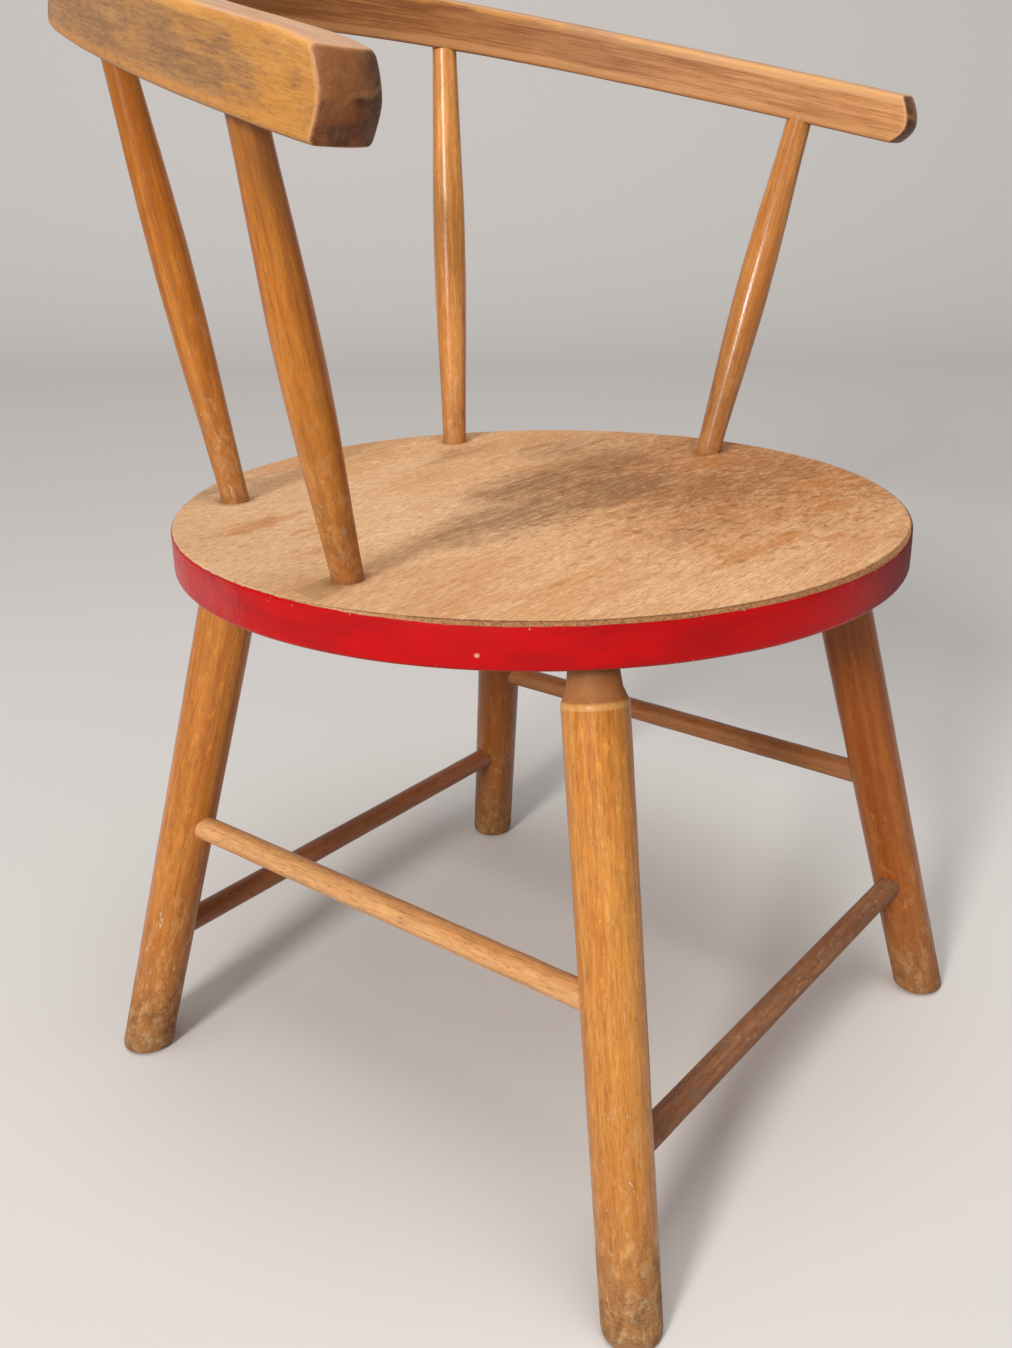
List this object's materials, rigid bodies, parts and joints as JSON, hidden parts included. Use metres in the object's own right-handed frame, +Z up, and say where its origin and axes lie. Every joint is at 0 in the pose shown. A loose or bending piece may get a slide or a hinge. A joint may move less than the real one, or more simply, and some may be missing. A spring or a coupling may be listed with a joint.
{
  "type": "child's spindle armchair",
  "caption": "Low wooden armchair for a child: round seat with a painted rim on splayed turned legs, and a bent bow on turned spindles for back and arms.",
  "frame": {"origin": "on the floor, under the middle of the chair's box", "axes": "+Z up, -Y the way the sitter looks, +X towards the sitter's left"},
  "size_m": [0.4183, 0.3594, 0.5165],
  "materials": {
    "seat_board": "bare worn top with a glossy red painted rim",
    "leg_varnish": "glossy amber varnish, scuffed and pale at the feet",
    "stretcher_side": "varnish worn thin",
    "stretcher_dark": "darkened varnish",
    "stretcher_worn": "rough and scratched, varnish gone grey-brown",
    "spindle_varnish": "glossy amber varnish with small scuffs",
    "bow_wood": "worn varnish with grimy patches and dark end grain"
  },
  "bodies": {
    "root": {"seat": "seat_board", "leg_front_right": "leg_varnish", "leg_front_left": "leg_varnish", "leg_rear_right": "leg_varnish", "leg_rear_left": "leg_varnish", "stretcher_right": "stretcher_side", "stretcher_left": "stretcher_dark", "stretcher_front": "stretcher_worn", "stretcher_rear": "stretcher_dark", "spindle_front_right": "spindle_varnish", "spindle_front_left": "spindle_varnish", "spindle_rear_right": "spindle_varnish", "spindle_rear_left": "spindle_varnish", "bow": "bow_wood"}
  },
  "joints": []
}
